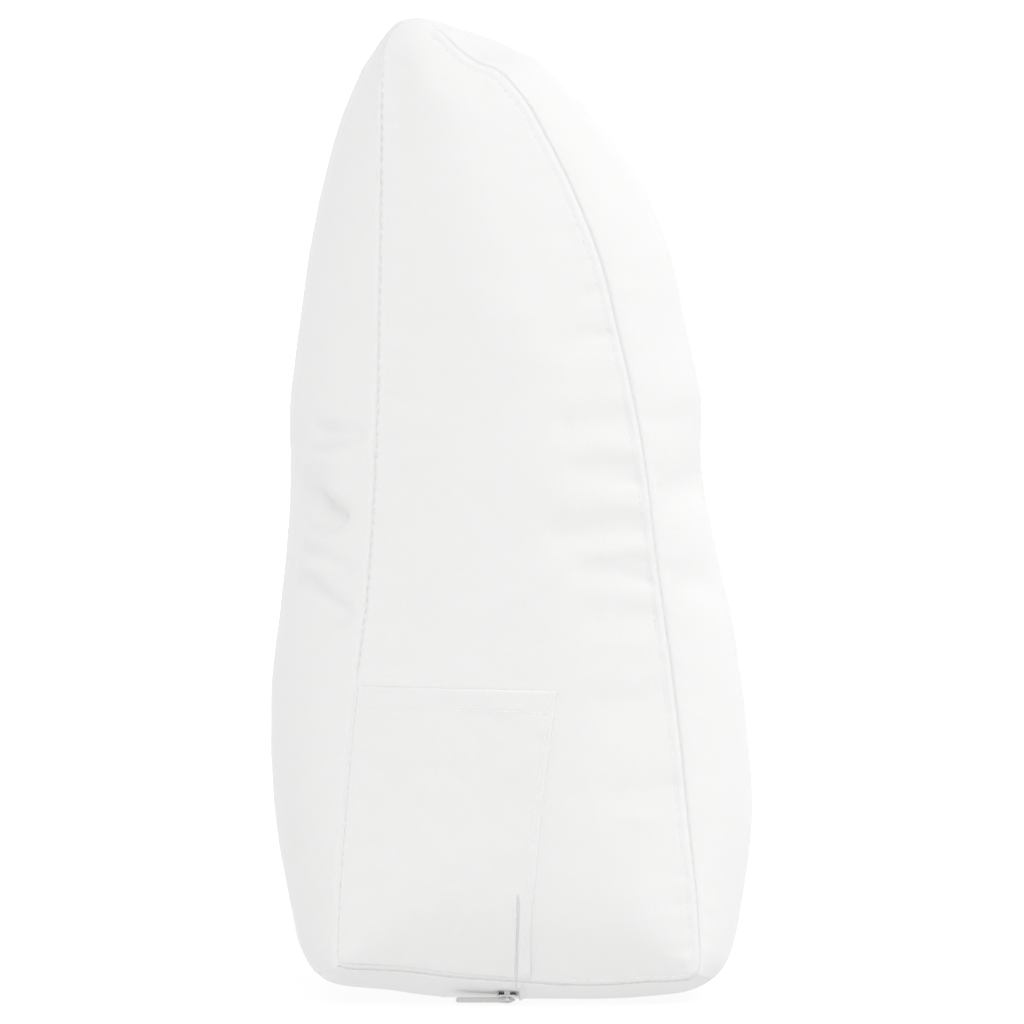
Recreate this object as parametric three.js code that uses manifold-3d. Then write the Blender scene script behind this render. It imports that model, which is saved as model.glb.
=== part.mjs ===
// Wedge pillow: a filled, sewn cover with a patch pocket and a zip at its near end.
// Millimetres. +X is the sloped front, -X the upright back, -Y the near end, +Z up. It stands on z = 0.
import * as THREE from 'three';
import Module from 'manifold-3d';
import { mergeVertices } from 'three/addons/utils/BufferGeometryUtils.js';

const wasm = await Module();
wasm.setup();

// Driving dimensions of the filled cover
const seamLength = 580; // near end seam to far end seam
const coverTurn = 9; // how quickly the cover swells away from an end seam
const coverEase = 0.9; // lower values make the cover turn away from the end seam more sharply
const panelRise = 17; // how far an end panel swells past its own seam
const panelReach = 80; // distance from the seam at which that swell is full
const panelEase = 1.2; // lower values give the end panel a steeper edge
const panelNearness = 1.1; // makes up for what the seam's other sides take off the distance
const seamTouch = 0.01; // the least distance that a point is taken to have from the seam
const leanStart = 220; // height from which an end leans back
const leanReach = 280; // height over which it comes to the full lean
const endLean = 14;
const tuckHeight = 60; // below this height an end tucks in
const endTuck = 3.5;
const seamSink = 0.6; // how far the sewing draws an end seam in
const seamSinkReach = 3; // width of the drawn-in line
const creaseEase = 6; // creases start this far from a seam
const restEase = 3; // rounding where the base meets the surface that it stands on
const acrossSteps = 12; // mesh steps across an end panel
const acrossCrowd = 0.6; // how far steps crowd towards the seams, from 0, even, to 1
const upSteps = 38; // mesh steps up an end panel
const upCrowd = 0.5;
const lengthSteps = 26; // mesh steps from end to end
const lengthCrowd = 0.85;
const outlineSteps = 90; // points on each edge of the seam's measured outline
const nearEnd = -seamLength / 2;

// Clearance between pieces, and thickness of the pocket's cloth
const pieceGap = 0.3;
const pocketCloth = 1.6;
const hemCloth = 2.3;
const hemDepth = 12.5; // folded hem along the pocket's top
const foldWidth = 4.6; // folded edge along the pocket's right side
const pocketInset = 1.6; // pocket's edge to the seam that it is caught in
const pocketCorner = 0.006; // where the pocket starts on both seams, as a share of each
const pocketAcross = 14;
const pocketUp = 16;

// Zip slit, slider and puller
const slitX = 3.3;
const slitTop = 57.5;
const slitWidth = 1.2;
const slitDepth = 2.5;
const bladeClear = 5; // how far the cutting blade stands out of the cloth
const slitSteps = 10; // mesh steps of the slit on the end panel
const slitRun = 34; // how far the slit goes on under the base
const slitPanelFoot = 15; // where the slit leaves the end panel for the rim below it
const slitRunShares = [0, 0.04, 0.12, 0.25, 0.45, 0.7, 1];
const sliderX = -2.2;
const sliderBack = 16.5; // slider's centre behind the end seam
const sliderFloor = 3.9; // underside of the slider's plate above the surface
const sliderLength = 9;
const sliderWidth = 10.6;
const sliderThick = 2.7; // plate and side flanges together
const sliderPlate = 0.9;
const sliderFlange = 0.9;
const coreWidth = 3;
const coreLength = 5;
const headHalf = 0.75; // slider's square ends, as shares of its half width
const bellyPull = 0.34; // place of the rounding points, as a share of its length
const seatDrop = 6; // the slider's seat in the cloth is cut on down past the plate
const bailSink = 0.2; // the bail's feet run this far into the slider
const bailReach = 2.35; // how far the bail stands off the slider
const bailThick = 0.8;
const bailLength = 7.3;
const pullerFloor = 0.35; // underside of the puller's knob above the surface
const pullerWidth = 4.4;
const pullerLeft = 26.3; // from the knob's hole to the bar's far end
const barTop = 1.05; // bar's faces above and below the hole's centre
const barFoot = 1.25;
const barStart = 4; // from the hole to where the bar leaves the knob
const knobHalf = 1.6;
const knobShoulder = 1.5;
const knobTip = 4.4;
const knobHole = 0.95;

// Edges of an end panel. seam is where the panel is sewn, mid is where the cover stands at mid-length.
const backRows = [
  { seamX: -88.2, seamZ: 20.2, midX: -102.6, midZ: 11.8 },
  { seamX: -89.2, seamZ: 25.5, midX: -107.6, midZ: 18.7 },
  { seamX: -89.1, seamZ: 34.0, midX: -112.6, midZ: 29.1 },
  { seamX: -88.3, seamZ: 54.0, midX: -116.6, midZ: 45.5 },
  { seamX: -83.7, seamZ: 115.0, midX: -125.2, midZ: 105.8 },
  { seamX: -78.6, seamZ: 166.0, midX: -125.6, midZ: 160.6 },
  { seamX: -73.5, seamZ: 206.6, midX: -121.5, midZ: 203.6 },
  { seamX: -70.0, seamZ: 257.6, midX: -116.5, midZ: 258.0 },
  { seamX: -68.0, seamZ: 308.5, midX: -116.5, midZ: 312.2 },
  { seamX: -67.2, seamZ: 360.0, midX: -109.8, midZ: 367.0 },
  { seamX: -66.5, seamZ: 410.0, midX: -100.2, midZ: 420.1 },
  { seamX: -66.4, seamZ: 445.0, midX: -90.3, midZ: 457.2 },
  { seamX: -66.2, seamZ: 470.0, midX: -79.5, midZ: 483.0 },
];
const frontRows = [
  { seamX: 94.6, seamZ: 16.2, midX: 106.8, midZ: 10.2 },
  { seamX: 95.6, seamZ: 23.0, midX: 112.4, midZ: 16.8 },
  { seamX: 95.3, seamZ: 34.0, midX: 116.8, midZ: 28.1 },
  { seamX: 94.1, seamZ: 54.0, midX: 120.6, midZ: 46.0 },
  { seamX: 89.7, seamZ: 94.7, midX: 126.7, midZ: 88.1 },
  { seamX: 85.1, seamZ: 140.5, midX: 124.5, midZ: 135.3 },
  { seamX: 79.3, seamZ: 186.3, midX: 118.9, midZ: 182.1 },
  { seamX: 73.6, seamZ: 227.0, midX: 109.7, midZ: 225.1 },
  { seamX: 68.2, seamZ: 273.0, midX: 100.4, midZ: 274.3 },
  { seamX: 62.0, seamZ: 308.5, midX: 100.0, midZ: 312.4 },
  { seamX: 53.9, seamZ: 344.0, midX: 92.4, midZ: 349.5 },
  { seamX: 45.0, seamZ: 380.0, midX: 84.0, midZ: 388.0 },
  { seamX: 31.2, seamZ: 415.4, midX: 68.3, midZ: 425.4 },
  { seamX: 20.0, seamZ: 438.3, midX: 51.9, midZ: 449.2 },
  { seamX: 7.4, seamZ: 461.0, midX: 32.0, midZ: 472.0 },
  { seamX: -3.3, seamZ: 473.9, midX: 18.6, midZ: 484.0 },
];
const baseRows = [
  { seamX: -88.2, seamZ: 20.2, midX: -102.6, midZ: 11.8 },
  { seamX: -84.5, seamZ: 18.9, midX: -96.8, midZ: 7.2 },
  { seamX: -77.0, seamZ: 18.4, midX: -87.5, midZ: 4.6 },
  { seamX: -56.8, seamZ: 17.6, midX: -62.0, midZ: 2.0 },
  { seamX: -30.0, seamZ: 14.5, midX: -33.0, midZ: -2.9 },
  { seamX: 4.3, seamZ: 12.2, midX: 4.0, midZ: -4.4 },
  { seamX: 24.5, seamZ: 10.7, midX: 26.0, midZ: -4.8 },
  { seamX: 45.0, seamZ: 10.4, midX: 48.0, midZ: -4.8 },
  { seamX: 70.0, seamZ: 12.0, midX: 75.0, midZ: -0.6 },
  { seamX: 85.0, seamZ: 12.6, midX: 92.5, midZ: 2.6 },
  { seamX: 91.5, seamZ: 13.8, midX: 100.5, midZ: 6.2 },
  { seamX: 94.6, seamZ: 16.2, midX: 106.8, midZ: 10.2 },
];
const ridgeRows = [
  { seamX: -66.2, seamZ: 470.0, midX: -79.5, midZ: 483.0 },
  { seamX: -64.6, seamZ: 488.5, midX: -67.9, midZ: 498.7 },
  { seamX: -57.6, seamZ: 500.2, midX: -58.0, midZ: 506.6 },
  { seamX: -47.8, seamZ: 503.2, midX: -44.0, midZ: 507.3 },
  { seamX: -36.8, seamZ: 497.0, midX: -24.5, midZ: 503.4 },
  { seamX: -24.5, seamZ: 485.7, midX: -3.0, midZ: 495.8 },
  { seamX: -16.0, seamZ: 480.4, midX: 6.0, midZ: 491.6 },
  { seamX: -9.5, seamZ: 478.3, midX: 12.5, midZ: 488.2 },
  { seamX: -3.3, seamZ: 473.9, midX: 18.6, midZ: 484.0 },
];

// Soft troughs that the sewing pulls into the cloth. A negative depth is a swell.
const panelCreases = [
  { fromX: 50, fromZ: 343, toX: 28, toZ: 338, width: 9, depth: 0.8 },
  { fromX: 60, fromZ: 299, toX: 30, toZ: 295, width: 9, depth: 1.2 },
  { fromX: 67, fromZ: 257, toX: 30, toZ: 260, width: 9, depth: 1.5 },
  { fromX: 71, fromZ: 232, toX: 28, toZ: 229, width: 9, depth: 1.2 },
  { fromX: 75, fromZ: 206, toX: 38, toZ: 209, width: 9, depth: 1.1 },
  { fromX: 82, fromZ: 158, toX: 48, toZ: 154, width: 9, depth: 0.8 },
  { fromX: 87, fromZ: 112, toX: 54, toZ: 107, width: 9, depth: 0.6 },
  { fromX: -58, fromZ: 476, toX: -60, toZ: 440, width: 7, depth: 1.0 },
];
const backCreases = [
  { fromY: 42, fromZ: 264, toY: 8, toZ: 247, width: 8, depth: 6.5 },
  { fromY: 16, fromZ: 229, toY: 2, toZ: 216, width: 7, depth: 4.2 },
  { fromY: 38, fromZ: 213, toY: 4, toZ: 201, width: 7, depth: 4.4 },
  { fromY: 20, fromZ: 282, toY: 34, toZ: 286, width: 14, depth: -3.4 },
  { fromY: 12, fromZ: 238, toY: 34, toZ: 240, width: 9, depth: -2.4 },
];
const frontCreases = [
  { fromY: 4, fromZ: 262, toY: 60, toZ: 268, width: 11, depth: 2.4 },
  { fromY: 4, fromZ: 216, toY: 34, toZ: 214, width: 9, depth: 1.4 },
];

// Right-hand edge of the pocket, bottom to top
const pocketRightRows = [
  { x: 9.9, z: 13.6 },
  { x: 10.4, z: 48.9 },
  { x: 12.5, z: 66.7 },
  { x: 16.0, z: 104.8 },
  { x: 19.6, z: 132.8 },
  { x: 23.2, z: 160.8 },
];
const pocketTopLeftZ = 163.0;

const linen = new THREE.MeshStandardMaterial({ color: 0xf3f2ef, roughness: 0.92, metalness: 0 });
const pocketLinen = new THREE.MeshStandardMaterial({ color: 0xf4f3f0, roughness: 0.92, metalness: 0 });
const castMetal = new THREE.MeshStandardMaterial({ color: 0x6f7276, roughness: 0.38, metalness: 0.9 });
const enamel = new THREE.MeshStandardMaterial({ color: 0xdcdcda, roughness: 0.4, metalness: 0.1 });

// Crowds steps towards both ends of 0 to 1, so that seams get the finer faces.
function crowd(share, amount) {
  return share - (amount * Math.sin(2 * Math.PI * share)) / (2 * Math.PI);
}

// One edge of the end panel as two matched curves, read at an even share of the seam's length.
function edgeOf(rows) {
  const seam = new THREE.CatmullRomCurve3(rows.map((r) => new THREE.Vector3(r.seamX, 0, r.seamZ)));
  const mid = new THREE.CatmullRomCurve3(rows.map((r) => new THREE.Vector3(r.midX, 0, r.midZ)));
  seam.arcLengthDivisions = 400;
  return (share) => {
    const t = seam.getUtoTmapping(share);
    return { seam: seam.getPoint(t), mid: mid.getPoint(t) };
  };
}

const backEdge = edgeOf(backRows);
const frontEdge = edgeOf(frontRows);
const baseEdge = edgeOf(baseRows);
const ridgeEdge = edgeOf(ridgeRows);
const seamEdges = [baseEdge, ridgeEdge, backEdge, frontEdge].map((edge) => (share) => edge(share).seam);

// Fills the space inside four edges. across and up run from 0 to 1.
function patchPoint(base, ridge, back, front, across, up) {
  const corner = (x, z) => (z ? ridge(x) : base(x));
  const point = new THREE.Vector3();
  point.addScaledVector(base(across), 1 - up);
  point.addScaledVector(ridge(across), up);
  point.addScaledVector(back(up), 1 - across);
  point.addScaledVector(front(up), across);
  point.addScaledVector(corner(0, 0), -(1 - across) * (1 - up));
  point.addScaledVector(corner(1, 0), -across * (1 - up));
  point.addScaledVector(corner(0, 1), -(1 - across) * up);
  point.addScaledVector(corner(1, 1), -across * up);
  return point;
}

// The sewn outline of an end panel, one run of points for each side.
const seamSides = [baseEdge, frontEdge, ridgeEdge, backEdge].map((edge) => {
  const run = [];
  for (let i = 0; i <= outlineSteps; i++) run.push(edge(i / outlineSteps).seam);
  return run;
});

function distanceToLine(px, pz, ax, az, bx, bz) {
  const alongX = bx - ax;
  const alongZ = bz - az;
  const length = alongX * alongX + alongZ * alongZ;
  const share = THREE.MathUtils.clamp(((px - ax) * alongX + (pz - az) * alongZ) / length, 0, 1);
  return Math.hypot(px - ax - share * alongX, pz - az - share * alongZ);
}

// What a straight piece of seam up to s adds for a point at that distance beside its line.
function seamPull(s, beside) {
  return s / (2 * beside ** 2 * (beside ** 2 + s ** 2)) + Math.atan(s / beside) / (2 * beside ** 3);
}

// Distance from a point to the seam, and the distance that it feels from the whole seam at once. Beside a
// straight seam both are the same.
function seamDistance(x, z) {
  let nearest = Infinity;
  let pull = 0;
  for (const run of seamSides) {
    for (let i = 0; i < run.length - 1; i++) {
      const [a, b] = [run[i], run[i + 1]];
      const [alongX, alongZ] = [b.x - a.x, b.z - a.z];
      const length = Math.hypot(alongX, alongZ);
      const start = ((a.x - x) * alongX + (a.z - z) * alongZ) / length;
      const beside = Math.max(Math.abs((a.x - x) * alongZ - (a.z - z) * alongX) / length, seamTouch);
      nearest = Math.min(nearest, distanceToLine(x, z, a.x, a.z, b.x, b.z));
      pull += seamPull(start + length, beside) - seamPull(start, beside);
    }
  }
  return { nearest, felt: ((2 / Math.PI) * pull) ** (-1 / 3) };
}

// How far an end leans back at its top and tucks in at its foot.
function leanAt(z) {
  const lean = Math.max(0, (z - leanStart) / leanReach);
  const tuck = Math.max(0, (tuckHeight - z) / tuckHeight);
  return endLean * lean ** 2 + endTuck * tuck ** 2;
}

// How far the cover has swollen out at a distance from its end seam, from 0 to 1.
function coverSwell(fromEnd) {
  return (1 - (1 - (2 * fromEnd) / seamLength) ** coverTurn) ** coverEase;
}

function softTrough(distance, width, depth) {
  return depth * Math.exp(-((distance / width) ** 2));
}

// How far an end panel stands out past its seam line at x, z.
function panelSwell(x, z, creases) {
  const { nearest, felt } = seamDistance(x, z);
  const share = Math.min((felt * panelNearness) / panelReach, 1);
  const dome = panelRise * (1 - (1 - share) ** 2) ** panelEase;
  let swell = dome - softTrough(nearest, seamSinkReach, seamSink);
  for (const c of creases) {
    const away = distanceToLine(x, z, c.fromX, c.fromZ, c.toX, c.toZ);
    swell -= softTrough(away, c.width, c.depth) * Math.min(1, nearest / creaseEase);
  }
  return swell - leanAt(z);
}

// Flattens what would lie below the surface, with a soft start.
function restOnSurface(z) {
  if (z <= -restEase) return 0;
  if (z >= restEase) return z;
  return (z + restEase) ** 2 / (4 * restEase);
}

// A point of the cover between the ends: an edge's place and its distance behind the near seam.
function coverPoint(place, behind) {
  const fromEnd = Math.min(behind, seamLength - behind);
  const point = place.seam.clone().lerp(place.mid, coverSwell(fromEnd));
  const fading = (1 - (2 * fromEnd) / seamLength) ** 2;
  const sunk = softTrough(point.distanceTo(place.seam) + fromEnd, seamSinkReach, seamSink);
  const drawn = sunk + leanAt(place.seam.z) * fading;
  point.y = nearEnd + behind + (behind < seamLength / 2 ? drawn : -drawn);
  const creases = { back: backCreases, front: frontCreases }[place.side] ?? [];
  for (const c of creases) {
    const away = distanceToLine(behind, point.z, c.fromY, c.fromZ, c.toY, c.toZ);
    const inward = softTrough(away, c.width, c.depth) * Math.min(1, fromEnd / creaseEase);
    point.x += place.side === 'back' ? inward : -inward;
  }
  point.z = restOnSurface(point.z);
  return point;
}

// Vertices and faces of one closed body.
class Skin {
  points = [];
  faces = [];

  add(point) {
    this.points.push(point.x, point.y, point.z);
    return this.points.length / 3 - 1;
  }

  quad(a, b, c, d) {
    this.faces.push(a, b, c, a, c, d);
  }

  geometry() {
    const made = new THREE.BufferGeometry();
    made.setAttribute('position', new THREE.Float32BufferAttribute(this.points, 3));
    made.setIndex(this.faces);
    return made;
  }
}

// Adds one end panel and returns its vertex numbers by column and row.
function addPanel(skin, facing, creases) {
  const numbers = [];
  for (let i = 0; i <= acrossSteps; i++) {
    const across = crowd(i / acrossSteps, acrossCrowd);
    const column = [];
    for (let j = 0; j <= upSteps; j++) {
      const up = crowd(j / upSteps, upCrowd);
      const point = patchPoint(...seamEdges, across, up);
      point.y = facing * (seamLength / 2 + panelSwell(point.x, point.z, creases));
      column.push(skin.add(point));
    }
    numbers.push(column);
  }
  for (let i = 0; i < acrossSteps; i++) {
    for (let j = 0; j < upSteps; j++) {
      const [a, b] = [numbers[i][j], numbers[i + 1][j]];
      const [c, d] = [numbers[i + 1][j + 1], numbers[i][j + 1]];
      if (facing < 0) skin.quad(a, b, c, d);
      else skin.quad(a, d, c, b);
    }
  }
  return numbers;
}

// The vertex numbers round a panel's seam, in the order of seamPlaces.
function seamNumbers(numbers) {
  const round = [];
  for (let i = 0; i < acrossSteps; i++) round.push(numbers[i][0]);
  for (let j = 0; j < upSteps; j++) round.push(numbers[acrossSteps][j]);
  for (let i = acrossSteps; i > 0; i--) round.push(numbers[i][upSteps]);
  for (let j = upSteps; j > 0; j--) round.push(numbers[0][j]);
  return round;
}

function seamPlaces() {
  const places = [];
  const put = (edge, share, amount, side) => places.push({ ...edge(crowd(share, amount)), side });
  for (let i = 0; i < acrossSteps; i++) put(baseEdge, i / acrossSteps, acrossCrowd, 'base');
  for (let j = 0; j < upSteps; j++) put(frontEdge, j / upSteps, upCrowd, 'front');
  for (let i = acrossSteps; i > 0; i--) put(ridgeEdge, i / acrossSteps, acrossCrowd, 'ridge');
  for (let j = upSteps; j > 0; j--) put(backEdge, j / upSteps, upCrowd, 'back');
  return places;
}

// The whole filled cover as one closed skin.
function filledCover() {
  const skin = new Skin();
  const places = seamPlaces();
  let ring = seamNumbers(addPanel(skin, -1, panelCreases));
  const farRing = seamNumbers(addPanel(skin, 1, []));
  for (let k = 1; k <= lengthSteps; k++) {
    const behind = seamLength * crowd(k / lengthSteps, lengthCrowd);
    const next = k === lengthSteps ? farRing : places.map((p) => skin.add(coverPoint(p, behind)));
    ring.forEach((a, m) => {
      const n = (m + 1) % ring.length;
      skin.quad(a, next[m], next[n], ring[n]);
    });
    ring = next;
  }
  return skin.geometry();
}

// Joins and cuts
function solidOf(geometry) {
  const bare = geometry.clone();
  bare.deleteAttribute('normal');
  bare.deleteAttribute('uv');
  const merged = mergeVertices(bare, 1e-4);
  const vertProperties = Float32Array.from(merged.attributes.position.array);
  const triVerts = Uint32Array.from(merged.index.array);
  return new wasm.Manifold(new wasm.Mesh({ numProp: 3, vertProperties, triVerts }));
}

function geometryOf(solid) {
  const mesh = solid.getMesh();
  const made = new THREE.BufferGeometry();
  made.setAttribute('position', new THREE.Float32BufferAttribute(mesh.vertProperties, 3));
  made.setIndex(Array.from(mesh.triVerts));
  made.computeVertexNormals();
  return made;
}

// The slit's path on the cloth, as distance behind the near end and height.
function slitPath() {
  const path = [];
  for (let i = 0; i <= slitSteps; i++) {
    const z = THREE.MathUtils.lerp(slitTop, slitPanelFoot, i / slitSteps);
    path.push(new THREE.Vector2(-panelSwell(slitX, z, panelCreases), z));
  }
  const place = baseEdge(shareWhere(baseEdge, 'x', slitX));
  for (const share of slitRunShares) {
    const point = coverPoint(place, share * slitRun);
    path.push(new THREE.Vector2(point.y - nearEnd, point.z));
  }
  return path;
}

// Turns a shape drawn in X and Y to stand in Y and Z, its thickness along X.
const standUp = new THREE.Matrix4().makeBasis(
  new THREE.Vector3(0, 1, 0), new THREE.Vector3(0, 0, 1), new THREE.Vector3(1, 0, 0));

// A thin blade along that path, for cutting the slit.
function slitBlade() {
  const path = slitPath();
  const side = (i, reach) => {
    const run = path[Math.min(i + 1, path.length - 1)].clone().sub(path[Math.max(i - 1, 0)]).normalize();
    return path[i].clone().add(new THREE.Vector2(-run.y, run.x).multiplyScalar(reach));
  };
  const inside = path.map((_, i) => side(i, slitDepth));
  const outside = path.map((_, i) => side(i, -bladeClear));
  const shape = new THREE.Shape([...inside, ...outside.reverse()]);
  const blade = new THREE.ExtrudeGeometry(shape, { depth: slitWidth, bevelEnabled: false });
  blade.applyMatrix4(standUp);
  blade.translate(slitX - slitWidth / 2, nearEnd, 0);
  return solidOf(blade);
}

// The pocket's four edges: two lie just inside the seams that catch them, two are free.
function pocketEdges() {
  const right = new THREE.CatmullRomCurve3(pocketRightRows.map((r) => new THREE.Vector3(r.x, 0, r.z)));
  const backEnd = shareWhere(backEdge, 'z', pocketTopLeftZ);
  const baseEnd = shareWhere(baseEdge, 'x', pocketRightRows[0].x);
  const inward = new THREE.Vector3(pocketInset, 0, 0);
  const upward = new THREE.Vector3(0, 0, pocketInset);
  const back = (up) => backEdge(THREE.MathUtils.lerp(pocketCorner, backEnd, up)).seam.add(inward);
  const base = (across) => baseEdge(THREE.MathUtils.lerp(pocketCorner, baseEnd, across)).seam.add(upward);
  const front = (up) => right.getPoint(up);
  const top = (across) => back(1).lerp(front(1), across);
  return [base, top, back, front];
}

// Mesh lines of the pocket, from 0 to 1. The last line but one is the inner side of its hem or fold.
function pocketLines(steps, fold) {
  const lines = [];
  for (let i = 0; i < steps; i++) lines.push((i / (steps - 1)) * (1 - fold));
  return [...lines, 1];
}

// The patch pocket: a sheet laid on the end panel, thicker along its hem and its folded edge. Its
// underside runs into the panel, to be cut away by it.
function pocketBlank() {
  const edges = pocketEdges();
  const width = pocketRightRows.at(-1).x - edges[1](0).x;
  const height = pocketTopLeftZ - pocketRightRows[0].z;
  const columns = pocketLines(pocketAcross, foldWidth / width);
  const rows = pocketLines(pocketUp, hemDepth / height);
  const skin = new Skin();
  const layer = (lift) => columns.map((across, i) => rows.map((up, j) => {
    const point = patchPoint(...edges, across, up);
    point.y = nearEnd - panelSwell(point.x, point.z, panelCreases) - lift(i, j);
    return skin.add(point);
  }));
  const folded = (i, j) => i >= pocketAcross - 1 || j >= pocketUp - 1;
  const outer = layer((i, j) => pieceGap + (folded(i, j) ? hemCloth : pocketCloth));
  const inner = layer(() => -pocketCloth);
  for (let i = 0; i < pocketAcross; i++) {
    for (let j = 0; j < pocketUp; j++) {
      skin.quad(outer[i][j], outer[i + 1][j], outer[i + 1][j + 1], outer[i][j + 1]);
      skin.quad(inner[i][j], inner[i][j + 1], inner[i + 1][j + 1], inner[i + 1][j]);
    }
  }
  closeRim(skin, outer, inner);
  return solidOf(skin.geometry());
}

function closeRim(skin, outer, inner) {
  const last = outer.length - 1;
  const top = outer[0].length - 1;
  for (let i = 0; i < last; i++) {
    skin.quad(outer[i][0], inner[i][0], inner[i + 1][0], outer[i + 1][0]);
    skin.quad(outer[i][top], outer[i + 1][top], inner[i + 1][top], inner[i][top]);
  }
  for (let j = 0; j < top; j++) {
    skin.quad(outer[0][j], outer[0][j + 1], inner[0][j + 1], inner[0][j]);
    skin.quad(outer[last][j], inner[last][j], inner[last][j + 1], outer[last][j + 1]);
  }
}

// How far along an edge its seam reaches a height or a width.
function shareWhere(edge, axis, value) {
  const step = 0.002;
  let share = 0;
  while (share < 1 && edge(share).seam[axis] < value) share += step;
  return share;
}

// Puts a shape made round the slider's plate centre in its place. Its own Z points down.
const sliderFrame = new THREE.Matrix4().makeBasis(
  new THREE.Vector3(1, 0, 0), new THREE.Vector3(0, -1, 0), new THREE.Vector3(0, 0, -1));
sliderFrame.setPosition(sliderX, nearEnd + sliderBack, sliderFloor);

function shieldShape(width, length) {
  const half = width / 2;
  const shape = new THREE.Shape();
  const head = half * headHalf;
  const belly = length * bellyPull;
  shape.moveTo(-head, -length / 2);
  shape.lineTo(head, -length / 2);
  shape.quadraticCurveTo(half, -belly, half, 0);
  shape.quadraticCurveTo(half, belly, head, length / 2);
  shape.lineTo(-head, length / 2);
  shape.quadraticCurveTo(-half, belly, -half, 0);
  shape.quadraticCurveTo(-half, -belly, -head, -length / 2);
  return shape;
}

// A prism of the slider's outline between two heights, from its underside upwards.
function sliderPrism(grow, low, high) {
  const shape = shieldShape(sliderWidth + 2 * grow, sliderLength + 2 * grow);
  const prism = new THREE.ExtrudeGeometry(shape, { depth: high - low, bevelEnabled: false, curveSegments: 5 });
  prism.translate(0, 0, -high);
  return solidOf(prism.applyMatrix4(sliderFrame));
}

function sliderBox(width, length, low, high) {
  const box = new THREE.BoxGeometry(width, length, high - low);
  box.translate(0, 0, -(low + high) / 2);
  return solidOf(box.applyMatrix4(sliderFrame));
}

// The slider's plate, its side flanges and its core, all grown by the same amount.
function sliderBody(grow) {
  const inside = sliderWidth - 2 * sliderFlange - 2 * grow;
  const channel = sliderBox(inside, sliderLength * 2, sliderPlate + grow, sliderThick * 2);
  const core = sliderBox(coreWidth + 2 * grow, coreLength + 2 * grow, 0, sliderThick + grow);
  return sliderPrism(grow, -grow, sliderThick + grow).subtract(channel).add(core);
}

// The arch under the slider that the puller hangs from.
function sliderBail() {
  const half = bailLength / 2;
  const reach = bailReach + bailSink;
  const arch = new THREE.Shape();
  arch.moveTo(-half, 0);
  arch.lineTo(-half, reach - bailThick);
  arch.quadraticCurveTo(-half, reach, -half + bailThick, reach);
  arch.lineTo(half - bailThick, reach);
  arch.quadraticCurveTo(half, reach, half, reach - bailThick);
  arch.lineTo(half, 0);
  arch.lineTo(half - bailThick, 0);
  arch.lineTo(half - bailThick, reach - bailThick);
  arch.lineTo(-half + bailThick, reach - bailThick);
  arch.lineTo(-half + bailThick, 0);
  const bar = new THREE.ExtrudeGeometry(arch, { depth: bailThick, bevelEnabled: false, curveSegments: 4 });
  bar.translate(0, 0, -bailThick / 2);
  bar.applyMatrix4(standUp);
  bar.translate(0, 0, -bailSink);
  return solidOf(bar.applyMatrix4(sliderFrame));
}

// Turns a shape drawn in X and Y to stand in X and Z, its thickness along -Y.
const standAcross = new THREE.Matrix4().makeBasis(
  new THREE.Vector3(1, 0, 0), new THREE.Vector3(0, 0, 1), new THREE.Vector3(0, -1, 0));

// The puller: a moulded bar lying towards the back, with a pointed knob that the bail runs through.
function pullerSolid() {
  const side = new THREE.Shape();
  const endRound = (barTop + barFoot) / 2;
  side.moveTo(-barStart, -barFoot);
  side.quadraticCurveTo(-barStart / 2, -knobHalf, 0, -knobHalf);
  side.quadraticCurveTo(knobTip / 2, -knobShoulder, knobTip, 0);
  side.quadraticCurveTo(knobTip / 2, knobShoulder, 0, knobHalf);
  side.quadraticCurveTo(-barStart / 2, knobHalf, -barStart, barTop);
  side.lineTo(-pullerLeft + endRound, barTop);
  side.absarc(-pullerLeft + endRound, (barTop - barFoot) / 2, endRound, Math.PI / 2, 1.5 * Math.PI, false);
  const hole = new THREE.Path();
  hole.absellipse(0, 0, knobHole, knobHole, 0, 2 * Math.PI);
  side.holes.push(hole);
  const bar = new THREE.ExtrudeGeometry(side, { depth: pullerWidth, bevelEnabled: false, curveSegments: 8 });
  bar.translate(0, 0, -pullerWidth / 2);
  bar.applyMatrix4(standAcross);

  // seen from above, both ends are round
  const tip = pullerWidth / 2;
  const plan = new THREE.Shape();
  plan.moveTo(-pullerLeft + tip, -tip);
  plan.lineTo(knobTip - tip, -tip);
  plan.absarc(knobTip - tip, 0, tip, -Math.PI / 2, Math.PI / 2, false);
  plan.lineTo(-pullerLeft + tip, tip);
  plan.absarc(-pullerLeft + tip, 0, tip, Math.PI / 2, 1.5 * Math.PI, false);
  const outline = new THREE.ExtrudeGeometry(plan, { depth: 4 * knobHalf, bevelEnabled: false, curveSegments: 8 });
  outline.translate(0, 0, -2 * knobHalf);
  const puller = solidOf(bar).intersect(solidOf(outline));
  return puller.translate([sliderX, nearEnd + sliderBack, pullerFloor + knobHalf]);
}

function named(name, solid, material) {
  const mesh = new THREE.Mesh(geometryOf(solid), material);
  mesh.name = name;
  return mesh;
}

const cover = solidOf(filledCover());
const blade = slitBlade();
const seat = sliderBody(pieceGap).add(sliderPrism(pieceGap, -seatDrop, sliderPlate));
const slider = sliderBody(0).add(sliderBail());
const pocket = pocketBlank().subtract(cover.translate([0, -pieceGap, 0])).subtract(blade);

const pillow = new THREE.Group();
pillow.add(named('filled_cover', cover.subtract(blade).subtract(seat), linen));
pillow.add(named('patch_pocket', pocket, pocketLinen));
pillow.add(named('zip_slider', slider, castMetal));
pillow.add(named('zip_puller', pullerSolid(), enamel));

export default pillow;
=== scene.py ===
import math

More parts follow.
